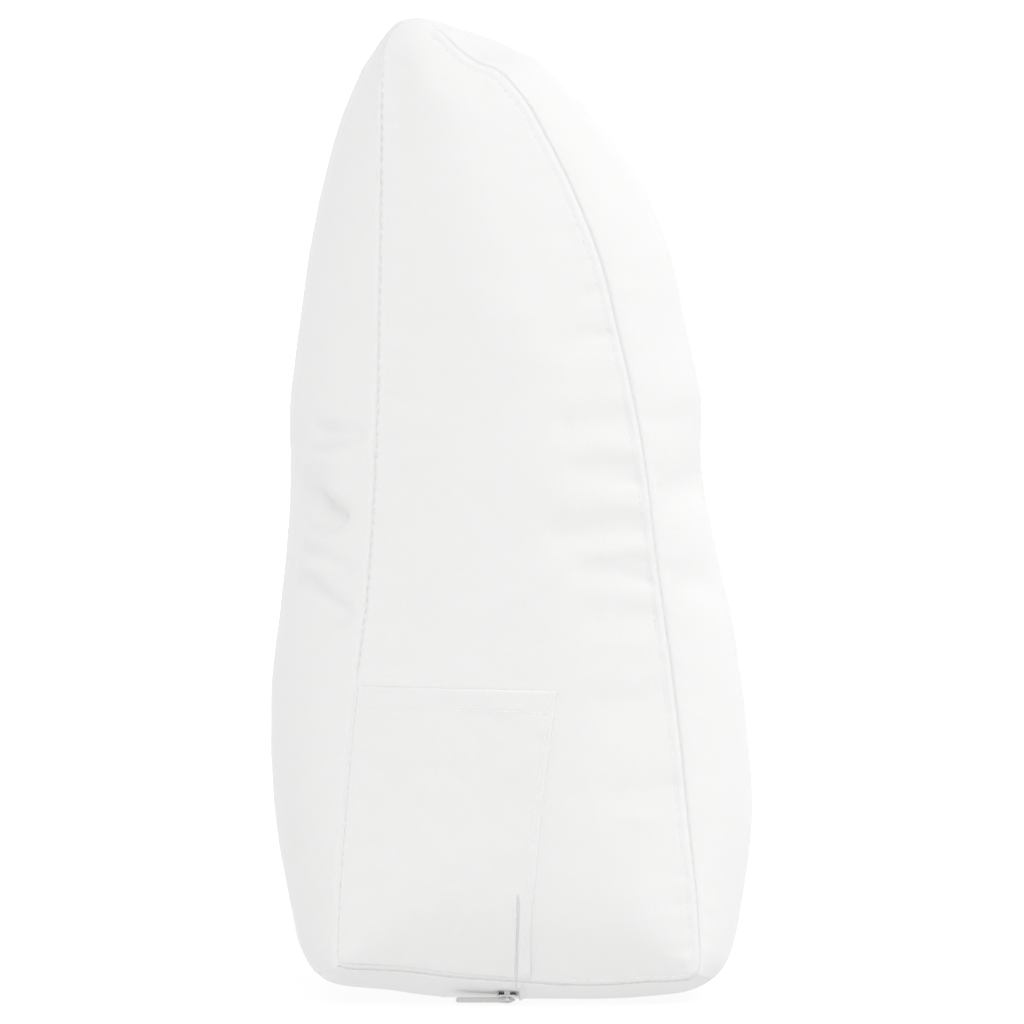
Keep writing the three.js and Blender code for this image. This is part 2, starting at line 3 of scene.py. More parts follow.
import bpy
import numpy as np
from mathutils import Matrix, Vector


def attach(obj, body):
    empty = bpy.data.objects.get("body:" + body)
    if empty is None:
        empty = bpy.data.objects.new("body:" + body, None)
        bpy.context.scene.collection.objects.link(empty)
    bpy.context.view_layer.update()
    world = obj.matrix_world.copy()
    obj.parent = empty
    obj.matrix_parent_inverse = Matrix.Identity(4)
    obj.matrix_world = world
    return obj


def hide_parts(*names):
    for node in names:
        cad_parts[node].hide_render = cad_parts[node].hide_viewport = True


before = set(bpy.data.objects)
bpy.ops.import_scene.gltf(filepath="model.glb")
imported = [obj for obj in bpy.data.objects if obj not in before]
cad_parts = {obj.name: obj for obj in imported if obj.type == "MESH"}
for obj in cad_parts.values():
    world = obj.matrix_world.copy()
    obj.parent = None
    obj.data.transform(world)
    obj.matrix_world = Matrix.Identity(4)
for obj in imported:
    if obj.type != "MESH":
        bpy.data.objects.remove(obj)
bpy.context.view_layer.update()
toMetres = 0.001
print("frame loaded")


# Curves and soft shapes, all in millimetres

def throughRows(rows, t):
    # a smooth curve through the rows, read at t from 0 to 1
    rows = np.asarray(rows, float)
    ends = np.vstack([2 * rows[0] - rows[1], rows, 2 * rows[-1] - rows[-2]])
    place = np.clip(np.asarray(t, float), 0, 1) * (len(rows) - 1)
    first = np.minimum(place.astype(int), len(rows) - 2)
    w = (place - first)[..., None]
    p0, p1, p2, p3 = (ends[first + k] for k in range(4))
    spans = ((p0, p1), (p1, p2), (p2, p3))
    d0, d1, d2 = (np.sqrt(np.linalg.norm(b - a, axis=-1))[..., None] for a, b in spans)
    start = ((p1 - p0) / d0 - (p2 - p0) / (d0 + d1) + (p2 - p1) / d1) * d1
    end = ((p2 - p1) / d1 - (p3 - p1) / (d1 + d2) + (p3 - p2) / d2) * d1
    return p1 + start * w + (3 * (p2 - p1) - 2 * start - end) * w**2 + (2 * (p1 - p2) + start + end) * w**3


def smooth(value, low, high):
    # 0 below low, 1 above high, and a soft step between them
    t = np.clip((np.asarray(value, float) - low) / (high - low), 0, 1)
    return t * t * (3 - 2 * t)


def bell(distance, width):
    return np.exp(-((distance / width) ** 2))


def runOf(steps):
    # the way covered after each step, starting from 0
    return np.concatenate([[0], np.cumsum(steps)])


def unit(vectors):
    return vectors / (np.linalg.norm(vectors, axis=-1, keepdims=True) + 1e-9)


def softNoise(u, v, size, seed):
    # smooth noise from -1 to 1 with features of about that size
    cells = 61
    table = np.random.default_rng(seed).uniform(-1, 1, (cells, cells))
    a, b = np.asarray(u) / size, np.asarray(v) / size
    i, j = np.floor(a).astype(int), np.floor(b).astype(int)
    f, g = (t * t * t * (t * (6 * t - 15) + 10) for t in (a - i, b - j))

    def across(row):
        return table[i % cells, row % cells] * (1 - f) + table[(i + 1) % cells, row % cells] * f

    return across(j) * (1 - g) + across(j + 1) * g


def toLine(px, pz, ax, az, bx, bz):
    # distance of points to a line from a to b
    alongX, alongZ = bx - ax, bz - az
    share = np.clip(((px - ax) * alongX + (pz - az) * alongZ) / (alongX**2 + alongZ**2), 0, 1)
    return np.hypot(px - ax - share * alongX, pz - az - share * alongZ)


def spread(count, crowding):
    # count + 1 shares from 0 to 1, closer together where crowding(share) is larger
    share = np.linspace(0, 1, 4000)
    weight = crowding(share)
    run = runOf((weight[1:] + weight[:-1]) / 2)
    return np.interp(np.linspace(0, 1, count + 1), run / run[-1], share)


def crowded(start=(0, 1), end=(0, 1), bands=()):
    # a crowding for spread: an amount and a reach at both ends, and a place, amount and width for each band
    def crowding(share):
        weight = 1 + start[0] * np.exp(-share / start[1]) + end[0] * np.exp((share - 1) / end[1])
        return weight + sum(amount * bell(share - at, width) for at, amount, width in bands)

    return crowding


def patch(edges, across, up):
    # fills the space inside four edges at paired shares across and up
    low, high, left, right = edges
    a, u = across[..., None], up[..., None]

    def corner(edge, share):
        return edge(np.array([share]))[0]

    filled = low(across) * (1 - u) + high(across) * u + left(up) * (1 - a) + right(up) * a
    filled = filled - corner(low, 0.0) * (1 - a) * (1 - u) - corner(low, 1.0) * a * (1 - u)
    return filled - corner(high, 0.0) * (1 - a) * u - corner(high, 1.0) * a * u


# The pillow's cover. Rows are seam x, seam z, and x, z of the cover at mid-length.
cover = {
    "seamLength": 580.0,       # between the two end seams
    "coverTurn": 9.0,          # how soon the cover swells out behind an end seam
    "coverEase": 0.9,
    "turnEase": 3.0,           # over which the cloth turns from the end to the side
    "swellOut": 42.0,          # about how far it swells out, for the spacing of its points
    "lean": (220.0, 280.0, 14.0),  # from this height, over this reach, by this much
    "tuck": (60.0, 3.5),       # below this height, by this much at the floor
    "panelRise": 17.0,
    "panelReach": 80.0,
    "panelEase": 1.2,
    "nearness": 1.1,           # weight of the distance that feels the whole seam
    "seamTouch": 0.01,         # nearest that a point comes to the seam's own line
    "seamSink": 0.6,
    "seamSinkReach": 3.0,
    "creaseEase": 6.0,
    "restEase": 3.0,
    "footLeft": -89.8,         # where the panel's foot starts, and its width
    "footWidth": 186.0,
    "across": 112,
    "up": 350,
    "stationsNear": 36,
    "firstNear": 0.7,
    "stationsFar": 22,
    "firstFar": 1.2,
    "farRings": 14,
    "back": [
        (-88.2, 20.2, -102.6, 11.8), (-89.2, 25.5, -107.6, 18.7), (-89.1, 34.0, -112.6, 29.1),
        (-88.3, 54.0, -116.6, 45.5), (-83.7, 115.0, -125.2, 105.8), (-78.6, 166.0, -125.6, 160.6),
        (-73.5, 206.6, -121.5, 203.6), (-70.0, 257.6, -116.5, 258.0), (-68.0, 308.5, -116.5, 312.2),
        (-67.2, 360.0, -109.8, 367.0), (-66.5, 410.0, -100.2, 420.1), (-66.4, 445.0, -90.3, 457.2),
        (-66.2, 470.0, -79.5, 483.0),
    ],
    "front": [
        (94.6, 16.2, 106.8, 10.2), (95.6, 23.0, 112.4, 16.8), (95.3, 34.0, 116.8, 28.1),
        (94.1, 54.0, 120.6, 46.0), (89.7, 94.7, 126.7, 88.1), (85.1, 140.5, 124.5, 135.3),
        (79.3, 186.3, 118.9, 182.1), (73.6, 227.0, 109.7, 225.1), (68.2, 273.0, 100.4, 274.3),
        (62.0, 308.5, 100.0, 312.4), (53.9, 344.0, 92.4, 349.5), (45.0, 380.0, 84.0, 388.0),
        (31.2, 415.4, 68.3, 425.4), (20.0, 438.3, 51.9, 449.2), (7.4, 461.0, 32.0, 472.0),
        (-3.3, 473.9, 18.6, 484.0),
    ],
    "base": [
        (-88.2, 20.2, -102.6, 11.8), (-84.5, 18.9, -96.8, 7.2), (-77.0, 18.4, -87.5, 4.6),
        (-56.8, 17.6, -62.0, 2.0), (-30.0, 14.5, -33.0, -2.9), (4.3, 12.2, 4.0, -4.4),
        (24.5, 10.7, 26.0, -4.8), (45.0, 10.4, 48.0, -4.8), (70.0, 12.0, 75.0, -0.6),
        (85.0, 12.6, 92.5, 2.6), (91.5, 13.8, 100.5, 6.2), (94.6, 16.2, 106.8, 10.2),
    ],
    "ridge": [
        (-66.2, 470.0, -79.5, 483.0), (-64.6, 488.5, -67.9, 498.7), (-57.6, 500.2, -58.0, 506.6),
        (-47.8, 503.2, -44.0, 507.3), (-36.8, 497.0, -24.5, 503.4), (-24.5, 485.7, -3.0, 495.8),
        (-16.0, 480.4, 6.0, 491.6), (-9.5, 478.3, 12.5, 488.2), (-3.3, 473.9, 18.6, 484.0),
    ],
}

# Soft troughs pulled in by the sewing: from, to, width, depth. A negative depth is a swell.
panelCreases = [
    (50, 343, 28, 338, 9, 0.9), (60, 299, 30, 295, 9, 1.4), (67, 270, 34, 273, 8, 1.3),
    (70, 244, 26, 240, 9, 1.7), (74, 219, 38, 222, 8, 1.5), (77, 195, 42, 199, 9, 1.1),
    (82, 158, 50, 154, 9, 0.9), (87, 112, 56, 107, 9, 0.8), (64, 284, 46, 286, 6, -0.5),
    (70, 256, 50, 256, 5, -0.6), (73, 232, 48, 231, 5, -0.6), (86, 98, 66, 96, 6, -0.5),
    (-58, 476, -60, 440, 7, 1.0),
]
backCreases = [
    (31, 256, 19, 248, 8, 9.5), (25, 291, 10, 290.5, 6, 4.6), (29, 230, 12, 223, 6, 3.8),
    (33, 214, 13, 200, 8, 6.5), (31, 240, 18, 239, 7, -4.0), (33, 278, 15, 280, 8, -5.0),
    (38, 222, 26, 226, 7, -2.5),
]
frontCreases = [(4, 297, 40, 300, 9, 1.2), (4, 262, 60, 266, 11, 2.2), (4, 217, 34, 214, 9, 1.5)]

# Unevenness of the filling: height, size, seed, and the distances from a seam between which it sets in
filling = {
    "panelBroad": (0.45, 34, 3, (4, 30)),
    "panelFine": (0.16, 11, 4, (2, 12)),
    "wrapBroad": (1.0, 42, 8, (6, 50)),
    "wrapFine": (0.25, 13, 9, (3, 20)),
    "panelShift": 400.0,       # brings the whole panel to one side of the noise's origin
}

# Sewing: how the cloth is drawn in beside its seams and topstitching
sewing = {
    "sideEase": 8.0,
    "wrapSideEase": 6.0,
    "groove": {"front": 0.9, "ridge": 0.9, "back": 1.6, "base": 1.6},
    "grooveWidth": 0.65,
    "backPitch": 5.6,          # the back seam's groove is dotted
    "backDots": 0.32,
    "besidePocket": 0.72,      # how much shallower it is where the pocket is caught in it
    "pocketTop": (152.0, 144.0),
    "weltRise": 0.3,
    "weltCentre": 2.3,
    "weltWidth": 1.2,
    "weltFrom": (-47.0, -38.0),
    "apexFrom": (481.0, 490.0),
    "topstitch": {"front": (4.7, 0.22), "ridge": (4.7, 0.22), "back": (0.7, 0.077), "base": (2.5, 0.077)},
    "topstitchWidth": 0.9,
    "calm": {"front": 0.55, "base": 0.5},
}

# Small gathers beside the seam, each with its own place, depth, width, reach and slant
pucker = {
    "seed": 17,
    "gap": 10.0,
    "gapShare": (0.45, 1.6),
    "lastGap": 4.0,
    "depth": 0.75,
    "depthShare": (0.15, 1.0),
    "depthPower": 1.5,
    "width": (2.2, 5.0),
    "widening": 30.0,
    "reach": (9, 30),
    "slant": (-0.4, 0.4),
    "clear": 2.5,
    "panelShare": 0.85,
    "wrapShare": 1.15,
    "farShift": 370.0,
}

zipSlit = {
    "x": 2.5,
    "lean": 0.8,
    "leanFrom": (12, 52),
    "top": 57.5,
    "topEase": (-3, 0.5),
    "half": 0.55,
    "sides": (0.35, 1.6),      # where a side starts and ends, in half widths
    "depth": 0.8,
    "lip": 0.2,
    "lipCentre": 1.9,
    "lipWidth": 1.0,
    "lipEase": (-2, 3),
    "underX": 4.6,             # where the slit runs on beneath the base
    "underTurn": 5.0,
    "underStart": 2.0,
    "underSides": (0.4, 1.8),
    "underDepth": 2.2,
    "run": 34.0,
    "runEase": 3.0,
}


class Edge:
    # one side of the end panel's seam, read at an even share of its length
    def __init__(self, name):
        rows = np.array(cover[name])
        self.seamRows, self.midRows = rows[:, :2], rows[:, 2:]
        self.t = np.linspace(0, 1, 401)
        self.along = runOf(np.linalg.norm(np.diff(throughRows(self.seamRows, self.t), axis=0), axis=1))
        self.length = self.along[-1]

    def seam(self, share):
        return throughRows(self.seamRows, np.interp(share, self.along / self.length, self.t))

    def mid(self, share):
        return throughRows(self.midRows, np.interp(share, self.along / self.length, self.t))


base, front, ridge, back = (Edge(name) for name in ("base", "front", "ridge", "back"))
panelEdges = (base.seam, ridge.seam, back.seam, front.seam)
frontStart, ridgeStart = base.length, base.length + front.length
backStart = ridgeStart + ridge.length
seamRun = backStart + back.length
sideSpans = {
    "base": (0, frontStart),
    "front": (frontStart, ridgeStart),
    "ridge": (ridgeStart, backStart),
    "back": (backStart, seamRun),
}
# the sides in their order from the lower back corner, and whether each runs against its rows
seamSides = (("base", base, False), ("front", front, False), ("ridge", ridge, True), ("back", back, True))
half = cover["seamLength"] / 2


def outlineAt(place):
    # the near seam's point at a distance along it, counted from the lower back corner
    place = np.asarray(place, float) % seamRun
    points = np.zeros(place.shape + (2,))
    for name, edge, flip in seamSides:
        start = sideSpans[name][0]
        here = (place >= start) & (place <= start + edge.length)
        share = (place[here] - start) / edge.length
        points[here] = edge.seam(1 - share if flip else share)
    return points


outlinePlaces = np.linspace(0, seamRun, 600, endpoint=False)
outlinePoints = outlineAt(outlinePlaces)


def seamPull(run, beside):
    # pull of a straight run of seam, from the point's own foot on it to that distance along it
    return run / (2 * beside**2 * (beside**2 + run**2)) + np.arctan(run / beside) / (2 * beside**3)


def nearestSeam(x, z):
    # distance to the seam's outline, the place along it, and a distance that feels the whole seam at once
    best, place, pull = np.full(x.shape, np.inf), np.zeros(x.shape), np.zeros(x.shape)
    step = seamRun / len(outlinePoints)
    for at, (ax, az), (bx, bz) in zip(outlinePlaces, outlinePoints, np.roll(outlinePoints, -1, axis=0)):
        alongX, alongZ = bx - ax, bz - az
        length = math.hypot(alongX, alongZ)
        ahead = ((ax - x) * alongX + (az - z) * alongZ) / length
        beside = np.maximum(np.abs((ax - x) * alongZ - (az - z) * alongX) / length, cover["seamTouch"])
        pull += seamPull(ahead + length, beside) - seamPull(ahead, beside)
        share = np.clip(-ahead / length, 0, 1)
        away = np.hypot(x - ax - share * alongX, z - az - share * alongZ)
        closer = away < best
        best[closer] = away[closer]
        place[closer] = at + share[closer] * step
    return best, place, (2 / math.pi * pull) ** (-1 / 3)


def sideShare(place, name, ease=sewing["sideEase"]):
    # 1 along the named side of the seam, easing to 0 past its ends
    start, end = sideSpans[name]
    middle, reach = (start + end) / 2, (end - start) / 2
    away = np.abs((place - middle + seamRun / 2) % seamRun - seamRun / 2)
    return 1 - smooth(away, reach - ease, reach + ease)


def slitX(z):
    # the slit leans a little as it rises
    return zipSlit["x"] + zipSlit["lean"] * smooth(z, *zipSlit["leanFrom"])


def slitShare(x, z):
    # 1 in the slit on the end panel, easing to 0 at its sides and its top
    inner, outer = (zipSlit["half"] * share for share in zipSlit["sides"])
    low, high = (zipSlit["top"] + ease for ease in zipSlit["topEase"])
    return (1 - smooth(np.abs(x - slitX(z)), inner, outer)) * (1 - smooth(z, low, high))


def sewnShare(x, z):
    # 0 where the seam passes over the top and the cloth runs on smoothly, 1 elsewhere
    return 1 - smooth(z, *sewing["apexFrom"]) * (1 - smooth(x, *sewing["weltFrom"]))


def grooveAt(place):
    # the sewn groove's depth. Down the back it is dotted, and it is shallow where the pocket is caught in it.
    wave = np.cos(2 * math.pi * np.asarray(place) / sewing["backPitch"])
    dots = 1 - sewing["backDots"] + sewing["backDots"] * wave
    start, end = (seamRun - height for height in sewing["pocketTop"])
    backDepth = sewing["groove"]["back"] * dots * (1 - sewing["besidePocket"] * smooth(place, start, end))
    depths = {**sewing["groove"], "back": backDepth}
    return sum(depth * sideShare(place, name) for name, depth in depths.items())


def scatterPuckers():
    chance = np.random.default_rng(pucker["seed"])
    place, found = 0.0, []
    while place < seamRun - pucker["lastGap"]:
        depth = chance.uniform(*pucker["depthShare"]) ** pucker["depthPower"]
        width, reach, slant = (chance.uniform(*pucker[name]) for name in ("width", "reach", "slant"))
        found.append((place, depth, width, reach, slant))
        place += pucker["gap"] * chance.uniform(*pucker["gapShare"])
    return found


puckers = scatterPuckers()


def puckerRelief(place, away):
    # small gathers at right angles to the seam
    relief = np.zeros(np.broadcast(place, away).shape)
    rise = 1 - bell(away, pucker["clear"])
    for at, depth, width, reach, slant in puckers:
        across = (place - at - slant * away + seamRun / 2) % seamRun - seamRun / 2
        relief -= depth * bell(across, width * (1 + away / pucker["widening"])) * rise * bell(away, reach)
    return relief * pucker["depth"]


def fillingRelief(name, u, v, away):
    height, size, seed, setIn = filling[name]
    return height * softNoise(u, v, size, seed) * smooth(away, *setIn)


def panelRelief(x, z, away, place, near):
    # what the sewing adds to an end panel's plain dome
    relief = -grooveAt(place) * bell(away, sewing["grooveWidth"])
    welted = np.maximum(sideShare(place, "front"), sideShare(place, "ridge")) * smooth(x, *sewing["weltFrom"])
    relief = relief + welted * sewing["weltRise"] * bell(away - sewing["weltCentre"], sewing["weltWidth"])
    for name, (inside, depth) in sewing["topstitch"].items():
        relief = relief - sideShare(place, name) * depth * bell(away - inside, sewing["topstitchWidth"])
    gathered = pucker["panelShare"] + (1 - pucker["panelShare"]) * sideShare(place, "back")
    relief = (relief + puckerRelief(place, away) * gathered) * sewnShare(x, z)
    for name in ("panelBroad", "panelFine"):
        relief = relief + fillingRelief(name, x + filling["panelShift"], z, away)
    if near:
        low, high = (zipSlit["top"] + ease for ease in zipSlit["lipEase"])
        lips = bell(np.abs(x - slitX(z)) - zipSlit["lipCentre"], zipSlit["lipWidth"])
        relief = relief - zipSlit["depth"] * slitShare(x, z)
        relief = relief + zipSlit["lip"] * lips * (1 - smooth(z, low, high))
    return relief


def endLean(z):
    # how far an end leans back at its top and tucks in at its foot
    start, reach, amount = cover["lean"]
    foot, tuck = cover["tuck"]
    return amount * np.clip((z - start) / reach, 0, None) ** 2 + tuck * np.clip((foot - z) / foot, 0, 1) ** 2


def panelSwell(x, z, near=True):
    # how far an end panel stands out past its seam line
    away, place, felt = nearestSeam(x, z)
    share = np.minimum(felt / cover["panelReach"] * cover["nearness"], 1)
    swell = cover["panelRise"] * (1 - (1 - share) ** 2) ** cover["panelEase"]
    swell = swell - cover["seamSink"] * bell(away, cover["seamSinkReach"])
    for *line, width, depth in panelCreases if near else []:
        swell = swell - depth * bell(toLine(x, z, *line), width) * np.minimum(1, away / cover["creaseEase"])
    return swell - endLean(z) + panelRelief(x, z, away, place, near)


def restOnSurface(z):
    # flattens what would reach below the floor, with a soft bend above it
    ease = cover["restEase"]
    return np.where(z <= -ease, 0, np.where(z >= ease, z, (np.clip(z, -ease, ease) + ease) ** 2 / (4 * ease)))


def coverSwell(fromEnd):
    # how far the cover has swollen out at a distance from its end seam, from 0 to 1
    return (1 - (1 - fromEnd / half) ** cover["coverTurn"]) ** cover["coverEase"]


def halfStations(count, first):
    # distances behind an end seam as far as mid-length, with steps along the cloth that grow from the first
    behind = half * np.linspace(0, 1, 6000) ** 2
    run = runOf(np.hypot(np.diff(behind), np.diff(cover["swellOut"] * coverSwell(behind))))
    growth = 1.0
    while first * sum(growth**k for k in range(count)) < run[-1]:
        growth += 0.0005
    steps = runOf([first * growth**k for k in range(count)])
    return np.interp(steps / steps[-1] * run[-1], run, behind)


def allStations():
    nearHalf = halfStations(cover["stationsNear"], cover["firstNear"])
    farHalf = halfStations(cover["stationsFar"], cover["firstFar"])
    return np.concatenate([nearHalf, cover["seamLength"] - farHalf[-2::-1]])


def wrapShape(seam, mid, behind, sides):
    # the cover's plain form between its end seams: [place along the seam, station]
    fromEnd = np.minimum(behind, cover["seamLength"] - behind)
    flat = seam[:, None] + (mid - seam)[:, None] * coverSwell(fromEnd)[None, :, None]
    out = np.linalg.norm(flat - seam[:, None], axis=2)
    drawn = cover["seamSink"] * bell(out + fromEnd, cover["seamSinkReach"])
    drawn = drawn + endLean(seam[:, None, 1]) * (1 - fromEnd / half) ** 2
    y = behind - half + np.where(behind < half, drawn, -drawn)
    points = np.stack([flat[..., 0], y, flat[..., 1]], axis=2)
    ease = np.minimum(1, fromEnd / cover["creaseEase"])
    for name, creases, inward in (("back", backCreases, 1), ("front", frontCreases, -1)):
        for *line, width, depth in creases:
            trough = bell(toLine(behind[None], points[..., 2], *line), width)
            points[..., 0] += inward * sides[name][:, None] * depth * ease * trough
    points[..., 2] = restOnSurface(points[..., 2])
    return points


def wrapRelief(points, seam, place, behind, sides, run, away):
    # what the sewing, the filling and the hidden part of the slit add to the plain form
    relief = -grooveAt(place)[:, None] * bell(away, sewing["grooveWidth"])
    calm = 1.0 - sum(share * sides[name][:, None] for name, share in sewing["calm"].items())
    shifted = place[:, None] + np.where(behind < half, 0, pucker["farShift"])
    gathers = puckerRelief(shifted, away) * pucker["wrapShare"] * calm
    relief = (relief + gathers) * sewnShare(*seam.T)[:, None]
    for name in ("wrapBroad", "wrapFine"):
        relief = relief + calm * fillingRelief(name, place[:, None], run, away)
    slitLine = zipSlit["x"] + (zipSlit["underX"] - zipSlit["x"]) * smooth(behind, 0, zipSlit["underTurn"])
    inner, outer = (zipSlit["half"] * share for share in zipSlit["underSides"])
    parted = 1 - smooth(np.abs(points[..., 0] - slitLine), inner, outer)
    parted = parted * smooth(behind, 0, zipSlit["underStart"])
    parted = parted * (1 - smooth(behind, zipSlit["run"] - zipSlit["runEase"], zipSlit["run"]))
    return relief - zipSlit["underDepth"] * sides["base"][:, None] * parted


def coverGrid(seam, mid, place, behind, sides):
    # points of the cover between its end seams, and the run along the cloth from the near seam to each
    points = wrapShape(seam, mid, behind, sides)
    around = np.roll(points, -1, axis=0) - np.roll(points, 1, axis=0)
    normal = unit(np.cross(around, np.gradient(points, axis=1)))
    steps = np.linalg.norm(np.diff(points, axis=1), axis=2)
    run = np.hstack([np.zeros((len(place), 1)), np.cumsum(steps, axis=1)])
    away = np.minimum(run, run[:, -1:] - run)
    endNormal = np.zeros_like(points)
    endNormal[..., 1] = np.where(behind < half, -1.0, 1.0)
    blend = smooth(away, 0, cover["turnEase"])[..., None]
    normal = unit(endNormal * (1 - blend) + normal * blend)
    points = points + normal * wrapRelief(points, seam, place, behind, sides, run, away)[..., None]
    points[..., 2] = restOnSurface(points[..., 2])
    return points, run


def makeMesh(name, points, faces, smoothShade=True):
    mesh = bpy.data.meshes.new(name)
    mesh.from_pydata((np.asarray(points) * toMetres).tolist(), [], faces)
    mesh.validate()
    if smoothShade:
        mesh.shade_smooth()
    piece = bpy.data.objects.new(name, mesh)
    bpy.context.scene.collection.objects.link(piece)
    return piece


# Each cloth starts elsewhere in the weave, so that none repeats its neighbour's threads.
clothShift = {"wrap": 900, "pocket": 1700, "farPanel": 2600}


def setClothPlace(piece, places):
    # where each point lies on the cloth, in millimetres along its two threads
    layer = piece.data.attributes.new("clothPlace", "FLOAT_VECTOR", "POINT")
    layer.data.foreach_set("vector", np.asarray(places, np.float32).ravel())


def clothPlaces(along, across):
    return np.stack([along, across, np.zeros_like(along)], axis=-1).reshape(-1, 3)


def quadGrid(numbers, flip=False):
    a, b, c, d = numbers[:-1, :-1], numbers[1:, :-1], numbers[1:, 1:], numbers[:-1, 1:]
    order = (a, d, c, b) if flip else (a, b, c, d)
    return np.stack([k.ravel() for k in order], axis=1).tolist()


def numbersFrom(first, grid):
    # point numbers for a grid of points, counted from the first
    return first + np.arange(grid.shape[0] * grid.shape[1]).reshape(grid.shape[:2])


def closed(numbers):
    return np.vstack([numbers, numbers[:1]])


def buildCover():
    slitPlace = (zipSlit["x"] - cover["footLeft"]) / cover["footWidth"]
    across = spread(cover["across"], crowded((2.4, 0.03), (2.4, 0.03), [(slitPlace, 5, 0.012)]))
    up = spread(cover["up"], crowded((4.0, 0.01), (1.6, 0.03)))
    a, u = np.meshgrid(across, up, indexing="ij")
    x, z = np.moveaxis(patch(panelEdges, a, u), -1, 0)
    panel = np.stack([x, -half - panelSwell(x, z), z], axis=2)

    # the seam's ring, side by side
    shares = (across[:-1], up[:-1], across[:0:-1], up[:0:-1])
    seam = np.vstack([edge.seam(share) for (name, edge, flip), share in zip(seamSides, shares)])
    mid = np.vstack([edge.mid(share) for (name, edge, flip), share in zip(seamSides, shares)])
    place = np.concatenate([sideSpans[name][0] + edge.length * (1 - share if flip else share)
                            for (name, edge, flip), share in zip(seamSides, shares)])
    sides = {name: sideShare(place, name, sewing["wrapSideEase"]) for name in sideSpans}
    wrap, run = coverGrid(seam, mid, place, allStations(), sides)

    # far panel as rings that close on its middle
    squareA = np.concatenate([across[:-1], np.ones(cover["up"]), across[:0:-1], np.zeros(cover["up"])])
    squareU = np.concatenate([np.zeros(cover["across"]), up[:-1], np.ones(cover["across"]), up[:0:-1]])
    inset = 1 - spread(cover["farRings"], crowded((26, 0.05)))[1:-1]
    ringA, ringU = (0.5 + (square - 0.5)[:, None] * inset for square in (squareA, squareU))
    farX, farZ = np.moveaxis(patch(panelEdges, ringA, ringU), -1, 0)
    far = np.stack([farX, half + panelSwell(farX, farZ, near=False), farZ], axis=2)
    centre = far[:, -1].mean(axis=0)

    # number the points: near panel, then the wrap past the near seam, then the far rings
    panelNumbers = numbersFrom(0, panel)
    ringNumbers = np.concatenate([panelNumbers[:-1, 0], panelNumbers[-1, :-1],
                                  panelNumbers[:0:-1, -1], panelNumbers[0, :0:-1]])
    wrapNumbers = np.hstack([ringNumbers[:, None], numbersFrom(panelNumbers.size, wrap[:, 1:])])
    farNumbers = np.hstack([wrapNumbers[:, -1:], numbersFrom(wrapNumbers.max() + 1, far)])
    middle, last = int(farNumbers.max()) + 1, farNumbers[:, -1]
    faces = quadGrid(panelNumbers)
    faces += quadGrid(closed(wrapNumbers), flip=True) + quadGrid(closed(farNumbers), flip=True)
    faces += [(int(p), middle, int(q)) for p, q in zip(last, np.roll(last, -1))]
    points = np.vstack([panel.reshape(-1, 3), wrap[:, 1:].reshape(-1, 3), far.reshape(-1, 3), centre[None]])
    piece = makeMesh("pillow_cover", points, faces)

    # the panels' threads follow x and z, the wrap's follow the seam and its length
    placeGrid = np.broadcast_to(place[:, None], run.shape)
    setClothPlace(piece, np.vstack([
        clothPlaces(x, z),
        clothPlaces(placeGrid[:, 1:], run[:, 1:] + clothShift["wrap"]),
        clothPlaces(farX, farZ + clothShift["farPanel"]),
        clothPlaces(centre[:1], centre[2:] + clothShift["farPanel"]),
    ]))
    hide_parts("filled_cover")
    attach(piece, "root")
    return piece


pillowCover = buildCover()
print("cover made:", len(pillowCover.data.polygons), "faces")


# The patch pocket: caught in the back and base seams, with a hem on top and a fold on its right
pocket = {
    "rightEdge": [(9.9, 13.4), (10.4, 48.9), (12.5, 66.7), (16.0, 104.8), (19.6, 132.8), (23.2, 160.8)],
    "topLeft": 163.0,
    "corner": 0.006,
    "inset": 0.9,
    "width": 110.0,
    "footWidth": 99.0,
    "height": 147.0,
    "cloth": 0.55,
    "hem": 0.78,
    "hemDepth": 12.5,
    "hemRow": 11.6,            # the sewn rows, from the top and from the right
    "foldWidth": 4.6,
    "foldRow": 3.9,
    "rowWidth": 0.8,
    "rowDepth": 0.2,
    "lift": 0.2,
    "seat": 0.05,
    "loose": (0.21, 26, 21),   # height, size and seed of the loose cloth, then of its fine unevenness
    "looseFrom": (3, 14),
    "uneven": (0.2, 8, 22),
    "gape": (0.3, 0.62, 0.28, 9),
    "footLift": (1.3, 4, 13, 10),
    "rim": 1.5,
    "rimShare": 0.2,
    "slitDepths": (0.75, 0.4),
    "slitShift": 0.3,
    "threadSlant": 0.03,
    "across": 96,
    "up": 120,
}


def shareWhere(edge, axis, value):
    shares = np.linspace(0, 1, 2001)
    return float(np.interp(value, edge.seam(shares)[:, axis], shares))


pocketTopShare = shareWhere(back, 1, pocket["topLeft"])
pocketBaseShare = shareWhere(base, 0, pocket["rightEdge"][0][0])


def pocketBack(up):
    return back.seam(pocket["corner"] + (pocketTopShare - pocket["corner"]) * up) + [pocket["inset"], 0]


def pocketBase(across):
    return base.seam(pocket["corner"] + (pocketBaseShare - pocket["corner"]) * across) + [0, pocket["inset"]]


def pocketRight(up):
    return throughRows(pocket["rightEdge"], up)


def pocketTop(across):
    left, right = (edge(np.ones_like(across)) for edge in (pocketBack, pocketRight))
    return left * (1 - across[..., None]) + right * across[..., None]


pocketEdges = (pocketBase, pocketTop, pocketBack, pocketRight)


